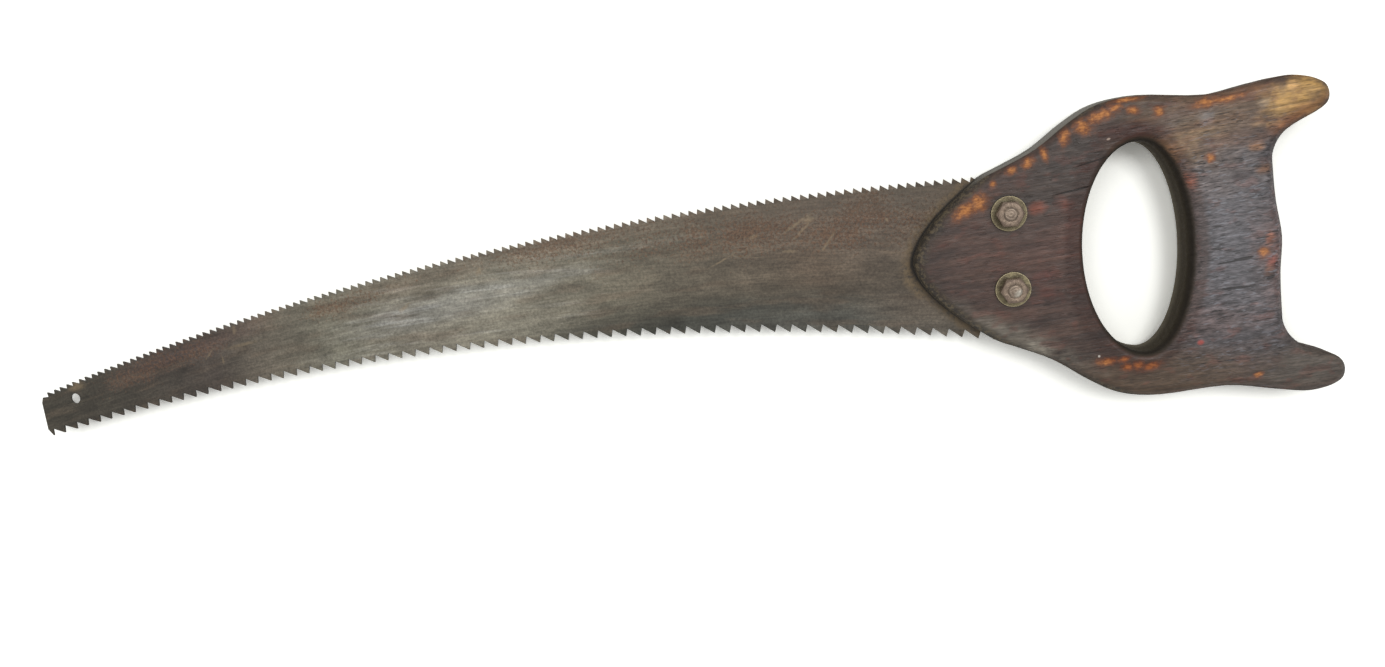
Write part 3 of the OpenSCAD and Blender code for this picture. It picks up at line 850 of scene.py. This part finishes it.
@dataclass
class Handle:
    """The wooden handle: its finish and where hands and knocks have worn it."""

    face_height: float = 24.8
    split_angle: float = 38.0
    orange: tuple[Mark, ...] = (
        Mark((148.0, 30.6), 8.6, 4.2, 26.0),
        Mark((154.0, 33.0), 6.0, 5.4, 38.0),
        Mark((160.6, 39.1), 2.2, 2.2),
        Mark((168.3, 43.1), 3.6, 2.4, 20.0),
        Mark((175.0, 44.8), 4.2, 3.0, 20.0),
        Mark((181.6, 47.2), 2.2, 4.4, 10.0),
        Mark((189.9, 52.0), 3.2, 5.2, -15.0),
        Mark((197.0, 54.6), 5.6, 4.6, -20.0),
        Mark((204.6, 57.6), 9.5, 3.8, 12.0),
        Mark((209.4, 59.4), 5.0, 2.4, 8.0),
        Mark((214.4, 62.0), 10.0, 1.8, -2.0),
        Mark((216.5, 57.5), 3.6, 2.4),
        Mark((225.8, 55.3), 3.4, 3.0, 30.0),
        Mark((243.0, 55.3), 7.0, 2.8, 4.0),
        Mark((250.0, 55.2), 11.0, 1.8, 2.0),
        Mark((242.1, 34.3), 2.6, 2.8),
        Mark((257.3, -5.6), 3.0, 3.2, -25.0),
        Mark((194.4, -39.0), 6.4, 2.3, -2.0),
        Mark((200.4, -39.2), 4.0, 1.9, 10.0),
        Mark((201.6, -42.4), 3.6, 2.8),
        Mark((205.5, -42.2), 3.6, 2.9),
        Mark((210.2, -43.6), 6.4, 2.4, 6.0),
        Mark((250.1, -53.2), 2.6, 1.6),
    )
    cracks: tuple[Mark, ...] = (
        Mark((246.4, -7.0), 13.0, 0.6, 2.0),
        Mark((249.4, -6.8), 8.0, 1.1, 2.0),
        Mark((245.8, -17.6), 11.0, 0.8, -3.0),
        Mark((240.6, -1.2), 4.0, 0.8, -4.0),
        Mark((258.6, -15.6), 3.2, 1.0, 12.0),
        Mark((237.4, -25.6), 5.0, 0.7, 2.0),
        Mark((199.0, 40.8), 12.0, 0.5, 8.0),
        Mark((190.0, 31.0), 14.0, 0.5, 4.0),
    )
    specks: tuple[Mark, ...] = (
        Mark((206.1, 48.3), 1.4, 0.8, 10.0),
        Mark((191.4, -36.3), 0.9, 0.9),
    )
    polished: tuple[Mark, ...] = (
        Mark((248.0, -6.0), 36.0, 70.0, -4.0),
    )
    tints: tuple[Tint, ...] = (
        # Red brown beside the bolts
        Tint(Mark((176.0, 18.4), 60.0, 56.0), (0.100, 0.052, 0.041), 0.5, 1.6, 0.8),
        # Grey brown of the long upper flank
        Tint(Mark((186.0, 37.0), 60.0, 24.0, 30.0), (0.040, 0.032, 0.027), 0.8, 1.2, 0.7),
        Tint(Mark((167.0, 37.6), 16.0, 9.0, 34.0), (0.030, 0.017, 0.012), 0.5, 1.6, 0.9),
        # The grip: its blue grey is a painted sheen over the coat's own shine
        Tint(Mark((247.0, 0.4), 46.0, 90.0, -4.0), (0.096, 0.092, 0.101), 0.85, 1.2, 0.7),
        Tint(Mark((243.0, 27.0), 34.0, 16.0, -2.0), (0.122, 0.096, 0.088), 0.6, 2.4, 0.9),
        # The brown lower arm and the darker lower horn
        Tint(Mark((214.0, -49.6), 84.0, 20.0, -5.0), (0.073, 0.048, 0.030), 0.8, 1.2, 0.6),
        Tint(Mark((270.0, -53.6), 30.0, 18.0), (0.095, 0.081, 0.067), 0.8, 1.0, 0.7),
        # The web above the grip and the bare upper horn
        Tint(Mark((236.0, 47.4), 42.0, 24.0, 4.0), (0.158, 0.100, 0.056), 0.85, 1.5, 0.8),
        Tint(Mark((233.0, 42.4), 26.0, 6.0, 6.0), (0.230, 0.152, 0.080), 0.8, 3.2, 0.9),
        Tint(Mark((231.5, 37.4), 12.0, 7.0, 4.0), (0.190, 0.125, 0.070), 0.6, 3.2, 0.9),
        Tint(Mark((261.0, 51.4), 34.0, 17.0, 6.0, 40.0), (0.112, 0.072, 0.045), 0.8, 1.6, 0.8),
        Tint(Mark((276.0, 51.4), 23.0, 14.0, 28.0, 60.0), (0.412, 0.242, 0.080), 0.95, 2.4, 0.6),
        Tint(Mark((273.0, 43.6), 22.0, 5.0, 24.0, 30.0), (0.240, 0.098, 0.042), 0.7, 2.0, 0.9),
        Tint(Mark((274.0, 55.9), 4.0, 4.0), (0.560, 0.330, 0.130), 0.8, 1.4, 0.5),
        # Warm streaks along the top of the upper arm and in the cheek
        Tint(Mark((243.0, 54.6), 40.0, 5.0, 5.0), (0.180, 0.074, 0.032), 0.5, 2.6, 0.9),
        Tint(Mark((240.0, 47.0), 34.0, 4.0, 3.0), (0.140, 0.070, 0.038), 0.4, 3.4, 0.9),
        Tint(Mark((250.0, 40.0), 26.0, 6.0, 2.0), (0.120, 0.062, 0.040), 0.5, 3.4, 0.9),
        Tint(Mark((231.0, 51.0), 16.0, 8.0, 10.0), (0.080, 0.070, 0.064), 0.55, 3.0, 0.9),
        # Small red stains
        Tint(Mark((175.6, 26.6), 5.4, 3.8, 8.0), (0.240, 0.060, 0.028), 0.60, 2.2, 0.9),
        Tint(Mark((186.9, 26.4), 5.0, 6.4, 8.0), (0.180, 0.048, 0.028), 0.50, 2.6, 0.9),
        Tint(Mark((176.1, 0.0), 10.0, 4.0, 10.0), (0.130, 0.030, 0.022), 0.40, 3.4, 0.9),
        Tint(Mark((174.6, -6.7), 6.0, 5.0), (0.120, 0.030, 0.022), 0.35, 3.4, 0.9),
        Tint(Mark((230.1, -37.0), 2.2, 1.8), (0.300, 0.050, 0.038), 0.8, 0.4, 0.6),
        # Dark stains across the grip
        Tint(Mark((252.3, 24.6), 6.5, 3.0, 14.0), (0.032, 0.020, 0.020), 0.8, 3.0, 0.9),
        Tint(Mark((244.3, -34.4), 7.0, 2.0, 46.0), (0.034, 0.024, 0.022), 0.7, 3.0, 0.9),
        # Fainter orange and red spots at both sides of the grip
        Tint(Mark((260.6, -7.0), 12.0, 30.0, -4.0), (0.110, 0.056, 0.044), 0.55, 2.4, 0.9),
        Tint(Mark((259.9, -0.9), 3.0, 4.4, -20.0), (0.250, 0.085, 0.040), 0.7, 1.8, 0.8),
        Tint(Mark((259.8, -9.4), 3.6, 4.0, -20.0), (0.240, 0.062, 0.040), 0.7, 1.8, 0.8),
        Tint(Mark((258.0, -13.0), 3.0, 5.0, -20.0), (0.180, 0.072, 0.034), 0.6, 1.8, 0.8),
        Tint(Mark((234.0, 27.0), 4.2, 5.4, 10.0), (0.260, 0.088, 0.042), 0.65, 1.6, 0.8),
        Tint(Mark((259.7, 35.1), 4.6, 2.8), (0.230, 0.105, 0.042), 0.7, 1.8, 0.8),
        Tint(Mark((261.0, 26.4), 5.0, 3.4, 10.0), (0.190, 0.085, 0.038), 0.75, 1.8, 0.8),
        Tint(Mark((239.0, -29.6), 26.0, 9.0, -4.0), (0.104, 0.062, 0.054), 0.45, 3.2, 0.9),
        # Painted highlights: grey-white sheen patches near the top of the grip.
        Tint(Mark((243.4, 50.4), 7.0, 5.0, 20.0), (0.250, 0.245, 0.245), 0.45, 4.4, 0.9),
        Tint(Mark((263.5, 50.9), 3.4, 2.4, 20.0), (0.250, 0.230, 0.210), 0.30, 4.4, 0.9),
        Tint(Mark((261.0, 44.8), 5.0, 5.0), (0.260, 0.150, 0.060), 0.55, 3.0, 0.9),
        # Red brown where fingers rub the top of the hand hole
        Tint(Mark((215.0, 49.2), 26.0, 6.6, -9.0), (0.044, 0.014, 0.007), 0.92, 0.9, 0.7),
        # The pale rounded edge below the bolts: partly rubbed wear, partly a painted highlight
        Tint(Mark((159.0, -24.6), 48.0, 11.0, -34.0), (0.152, 0.134, 0.108), 0.85, 2.0, 0.9),
        Tint(Mark((169.4, -30.2), 9.0, 3.6, -30.0), (0.300, 0.270, 0.220), 0.6, 4.5, 0.9),
    )
    gripped: Mark = Mark((243.0, -3.0), 58.0, 92.0, -4.0)
    # Where the upper flank gets its painted edge shade and side highlight.
    highlit_flank: Mark = Mark((189.0, 55.0), 84.0, 46.0, 33.0, 400.0)
    hand_hole: Mark = Mark((210.9, 4.1), 50.5, 94.0, -5.1, 400.0)

    def dress(self, effects: Effects) -> None:
        """Builds the wood and puts it on the handle."""
        wood = OldWood(
            name="old_wood",
            face_height=self.face_height,
            tints=self.tints,
            bare_spots=self.orange,
            cracks=self.cracks,
            specks=self.specks,
            polished=self.polished,
            gripped=self.gripped,
            highlit_flank=self.highlit_flank,
            hand_hole=self.hand_hole,
        )
        smoothed(dressed("handle", wood.build(effects)), self.split_angle)


@dataclass
class Blade:
    """The toothed blade: its patina, rust, smears and scratches."""

    face_height: float = 14.3
    upper_arc_centre: Point = (-59.5, -1371.2)
    upper_arc_radius: float = 1420.0
    stretch: tuple[tuple[float, Colour], ...] = (
        (-287.0, (0.047, 0.041, 0.030)),
        (-240.0, (0.044, 0.038, 0.029)),
        (-195.0, (0.056, 0.045, 0.037)),
        (-165.0, (0.118, 0.102, 0.078)),
        (-132.0, (0.138, 0.130, 0.098)),
        (-98.0, (0.158, 0.144, 0.112)),
        (-50.0, (0.184, 0.170, 0.131)),
        (-6.0, (0.113, 0.101, 0.074)),
        (35.0, (0.095, 0.080, 0.058)),
        (85.0, (0.080, 0.060, 0.042)),
        (120.0, (0.060, 0.047, 0.034)),
        (150.0, (0.050, 0.034, 0.021)),
    )
    tints: tuple[Tint, ...] = (
        # Brown bands above and below the grey middle
        Tint(Mark((-20.0, 49.4), 90.0, 13.0, 1.0), (0.168, 0.132, 0.096), 0.7, 1.6, 0.8),
        Tint(Mark((-95.0, 41.4), 90.0, 8.0, 4.0), (0.118, 0.094, 0.066), 0.55, 2.0, 0.8),
        Tint(Mark((-85.3, 35.6), 16.0, 5.0, 4.0), (0.075, 0.062, 0.044), 0.7, 2.6, 0.8),
        Tint(Mark((-132.8, 36.5), 16.0, 4.5, 8.0), (0.170, 0.132, 0.088), 0.45, 3.4, 0.9),
        # Worn grey streaks
        Tint(Mark((-82.0, 28.0), 76.0, 11.0, 4.0), (0.205, 0.200, 0.175), 0.7, 2.0, 0.8),
        Tint(Mark((-48.0, 33.4), 70.0, 6.0, 1.0), (0.190, 0.184, 0.156), 0.6, 2.0, 0.8),
        Tint(Mark((15.0, 39.9), 60.0, 3.0, -1.0), (0.135, 0.125, 0.100), 0.6, 2.0, 0.8),
        # Blue black stains near the nose and red ones beside them
        Tint(Mark((-212.0, 27.6), 22.0, 6.0, 10.0), (0.040, 0.038, 0.036), 0.7, 2.6, 0.8),
        Tint(Mark((-224.0, 26.0), 40.0, 10.0, 12.0), (0.070, 0.045, 0.038), 0.55, 2.0, 0.9),
        Tint(Mark((-186.0, 32.6), 34.0, 7.0, 11.0), (0.086, 0.055, 0.045), 0.5, 2.6, 0.8),
        # A painted shadow: the near-black band along the coarse teeth, then darker grey steel nearer the heel
        Tint(Mark((30.0, -2.0), 150.0, 26.0, -1.0), (0.016, 0.018, 0.014), 0.92, 1.2, 0.8),
        Tint(Mark((92.0, -9.0), 120.0, 20.0, -7.0), (0.063, 0.062, 0.052), 0.85, 1.2, 0.8),
        # Brown of the heel
        Tint(Mark((124.0, -6.0), 34.0, 18.0, -20.0), (0.092, 0.072, 0.053), 0.7, 1.8, 0.9),
        Tint(Mark((96.0, 36.0), 90.0, 30.0, -8.0), (0.090, 0.070, 0.053), 0.55, 1.6, 0.9),
        # A tan smudge over the hanging hole
        Tint(Mark((-267.0, 22.2), 7.0, 4.0, 10.0), (0.150, 0.112, 0.066), 0.7, 3.0, 0.8),
    )
    rust_marks: tuple[Mark, ...] = (
        Mark((-221.0, 25.6), 46.0, 8.0, 10.0),
        Mark((-130.0, 37.4), 26.0, 6.0, 6.0),
        Mark((-20.0, 47.2), 72.0, 9.0, 1.0),
        Mark((56.0, 37.4), 80.0, 13.0, -4.0),
        Mark((92.0, 30.4), 40.0, 10.0, -4.0),
        Mark((110.0, 35.0), 44.0, 14.0, -10.0),
    )
    scratches: tuple[Mark, ...] = (
        Mark((-181.0, 35.0), 1.6, 3.6),
        Mark((-178.0, 27.8), 13.0, 1.2, 3.0),
        Mark((-196.0, 26.0), 5.0, 0.8, 40.0),
        Mark((-190.0, 22.0), 0.8, 3.6),
        Mark((80.5, 36.8), 11.0, 1.1, 26.0),
        Mark((83.0, 34.2), 8.0, 0.9, 36.0),
        Mark((86.0, 37.8), 4.4, 2.0, 10.0),
        Mark((75.8, 26.2), 4.0, 1.1, -12.0),
        Mark((92.2, 27.0), 8.0, 0.8, 48.0),
        Mark((47.0, 27.2), 9.0, 0.6, 20.0),
        Mark((62.0, 34.8), 3.0, 1.4),
        Mark((117.6, 32.0), 1.2, 1.0),
        Mark((-98.0, 31.0), 5.0, 1.6, 30.0),
        Mark((-60.0, 41.4), 3.0, 1.8, 60.0),
    )

    def dress(self, effects: Effects) -> None:
        """Builds the steel and puts it on the blade."""
        steel = OldSteel(
            name="old_steel",
            face_height=self.face_height,
            stretch=self.stretch,
            tints=self.tints,
            rust_marks=self.rust_marks,
            scratches=self.scratches,
            tooth_arc=(self.upper_arc_centre, self.upper_arc_radius),
        )
        dressed("blade", steel.build(effects))


@dataclass
class Fastening:
    """One bolt with its washer and nut."""

    side: Side
    bright: tuple[Mark, ...] = ()
    brass: Colour = (0.132, 0.110, 0.060)
    tarnish: Colour = (0.082, 0.064, 0.036)
    brass_rim: Colour = (0.400, 0.345, 0.205)
    edge_rounding: float = 0.45
    split_angle: float = 30.0

    def axis(self) -> Point:
        """Where the bolt stands, in millimetres."""
        low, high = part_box(f"{self.side.value}_bolt")
        middle = (low + high) / 2 / MM
        return (middle.x, middle.y)

    def top(self, part: str) -> float:
        """The height of a part's top, in millimetres."""
        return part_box(f"{self.side.value}_{part}")[1].z / MM

    def dress(self, effects: Effects) -> None:
        """Builds the three metals and puts them on the washer, nut and bolt."""
        name = self.side.value
        finishes = {
            "washer": OldFitting(
                name=f"{name}_washer_brass",
                face_height=self.top("washer"),
                base=self.brass,
                second=self.tarnish,
                rubbed=self.brass_rim,
                edge_radius=0.75,
                painted_shade=1.1,
                shade_reach=1.3,
            ),
            "nut": OldFitting(
                name=f"{name}_nut_steel",
                face_height=self.top("nut"),
                base=(0.160, 0.116, 0.084),
                second=(0.108, 0.076, 0.058),
                rubbed=(0.225, 0.172, 0.124),
                axis=self.axis(),
                ring_pitch=2.4,
                edge_radius=0.7,
                painted_shade=0.45,
            ),
            "bolt": OldFitting(
                name=f"{name}_bolt_steel",
                face_height=self.top("bolt"),
                base=(0.176, 0.132, 0.098),
                second=(0.122, 0.090, 0.068),
                rubbed=(0.275, 0.220, 0.165),
                axis=self.axis(),
                ring_pitch=1.5,
                bright=self.bright,
                painted_shade=0.4,
            ),
        }
        for part, finish in finishes.items():
            smoothed(dressed(f"{name}_{part}", finish.build(effects)), self.split_angle,
                     self.edge_rounding if part == "nut" else 0.2)


# The studio


@dataclass(frozen=True)
class PaleFloor:
    """A white floor that keeps the shadows of what lies on it."""

    name: str = "pale_floor"
    colour: Colour = (0.83, 0.83, 0.82)
    background: Colour = (1.42, 1.43, 1.37)
    far_background: Colour = (3.20, 3.20, 3.15)
    near_and_far: tuple[float, float] = (450.0, 2200.0)
    lift: float = 0.34

    def build(self) -> bpy.types.Material:
        """Builds the material."""
        made = bpy.data.materials.new(self.name)
        made.use_nodes = True
        made.node_tree.nodes.clear()
        canvas = Canvas(made.node_tree)
        surface = canvas.node("ShaderNodeBsdfPrincipled")
        rays = canvas.node("ShaderNodeLightPath")
        reach = canvas.vector("LENGTH", canvas.place()).outputs["Value"]
        open_floor = canvas.mix(canvas.step(reach, *self.near_and_far), self.background,
                                self.far_background)
        shown = canvas.mix(rays.outputs["Is Camera Ray"], self.colour, open_floor)
        canvas.feed(surface.inputs["Base Color"], shown)
        canvas.feed(surface.inputs["Roughness"], 0.9)
        canvas.feed(surface.inputs["Specular IOR Level"], 0.1)
        mirrored = canvas.math("MAXIMUM", rays.outputs["Is Glossy Ray"], rays.outputs["Is Transmission Ray"])
        canvas.feed(surface.inputs["Emission Color"], (1.0, 1.0, 1.0))
        canvas.feed(surface.inputs["Emission Strength"], canvas.math("MULTIPLY", mirrored, self.lift))
        output = canvas.node("ShaderNodeOutputMaterial")
        canvas.feed(output.inputs["Surface"], surface.outputs[0])
        return made


@dataclass(frozen=True)
class SoftLamp:
    """A square lamp that points at a spot on the saw. Places are metres."""

    name: str
    at: tuple[float, float, float]
    aim: tuple[float, float, float]
    size: float
    watts: float

    def build(self) -> bpy.types.Object:
        """Makes the lamp."""
        data = bpy.data.lights.new(self.name, "AREA")
        data.size = self.size
        data.energy = self.watts
        lamp = bpy.data.objects.new(self.name, data)
        lamp.location = self.at
        lamp.rotation_euler = (Vector(self.aim) - Vector(self.at)).to_track_quat("-Z", "Y").to_euler()
        bpy.context.scene.collection.objects.link(lamp)
        return lamp


@dataclass
class Studio:
    """The floor, the light and the camera."""

    floor_half: float = 4.0
    floor_gap: float = 0.0001
    ambient: float = 0.50
    camera_at: tuple[float, float, float] = (0.108678, 0.060366, 0.477953)
    camera_turn: tuple[float, float, float] = (-9.1866, 8.2317, -10.7812)
    focal_pixels: float = 1100.0
    picture_width: float = 1385.0
    sensor_width: float = 36.0
    lamps: tuple[SoftLamp, ...] = (
        SoftLamp("key", (0.85, 0.55, 2.30), (0.10, 0.0, 0.0), 0.8, 21.5),
        SoftLamp("fill", (-0.50, 0.75, 2.10), (0.05, 0.0, 0.0), 0.9, 9.5),
    )
    made: list[bpy.types.Object] = field(default_factory=list)

    def build_floor(self) -> None:
        """Lays the floor just below the lowest point of the saw."""
        half, level = self.floor_half, -self.floor_gap
        mesh = bpy.data.meshes.new("floor")
        mesh.from_pydata(
            [(-half, -half, level), (half, -half, level), (half, half, level), (-half, half, level)],
            [],
            [(0, 1, 2, 3)],
        )
        mesh.materials.append(PaleFloor().build())
        floor = bpy.data.objects.new("floor", mesh)
        bpy.context.scene.collection.objects.link(floor)
        self.made.append(floor)
        LOG.info("floor laid")

    def build_world(self) -> None:
        """A white room: plain for what looks at it, softer as a light."""
        world = bpy.data.worlds.new("white_room")
        bpy.context.scene.world = world
        world.use_nodes = True
        world.node_tree.nodes.clear()
        canvas = Canvas(world.node_tree)
        rays = canvas.node("ShaderNodeLightPath")
        seen = canvas.math("MAXIMUM", rays.outputs["Is Camera Ray"], rays.outputs["Is Glossy Ray"])
        seen = canvas.math("MAXIMUM", seen, rays.outputs["Is Transmission Ray"])
        background = canvas.node("ShaderNodeBackground")
        canvas.feed(background.inputs["Color"], (1.0, 1.0, 1.0))
        strength = canvas.math("MULTIPLY_ADD", seen, 1.0 - self.ambient, self.ambient)
        canvas.feed(background.inputs["Strength"], strength)
        output = canvas.node("ShaderNodeOutputWorld")
        canvas.feed(output.inputs["Surface"], background.outputs[0])

    def build_camera(self) -> None:
        """Sets up the camera that took the picture."""
        data = bpy.data.cameras.new("camera")
        data.sensor_fit = "HORIZONTAL"
        data.sensor_width = self.sensor_width
        data.lens = self.sensor_width * self.focal_pixels / self.picture_width
        data.clip_start = 0.01
        camera = bpy.data.objects.new("camera", data)
        camera.location = self.camera_at
        camera.rotation_euler = [math.radians(a) for a in self.camera_turn]
        bpy.context.scene.collection.objects.link(camera)
        bpy.context.scene.camera = camera
        bpy.context.scene.view_settings.view_transform = "Standard"

    def build(self) -> None:
        """Builds the whole studio."""
        self.build_floor()
        self.build_world()
        self.made += [lamp.build() for lamp in self.lamps]
        self.build_camera()
        LOG.info("studio built with %d lamps", len(self.lamps))


def main() -> None:
    """Dresses the saw piece by piece and builds the studio."""
    logging.basicConfig(level=logging.INFO, format="%(name)s: %(message)s")
    effects = Effects()
    Blade().dress(effects)
    Handle().dress(effects)
    for fastening in (
        Fastening(Side.UPPER),
        Fastening(
            Side.LOWER,
            # A painted highlight over worn steel on the lower bolt's dome.
            bright=(Mark((164.0, -4.9), 4.6, 2.8, 20.0),),
            brass=(0.185, 0.156, 0.086),
            brass_rim=(0.470, 0.410, 0.250),
        ),
    ):
        fastening.dress(effects)
    Studio().build()


if __name__ == "__main__":
    main()
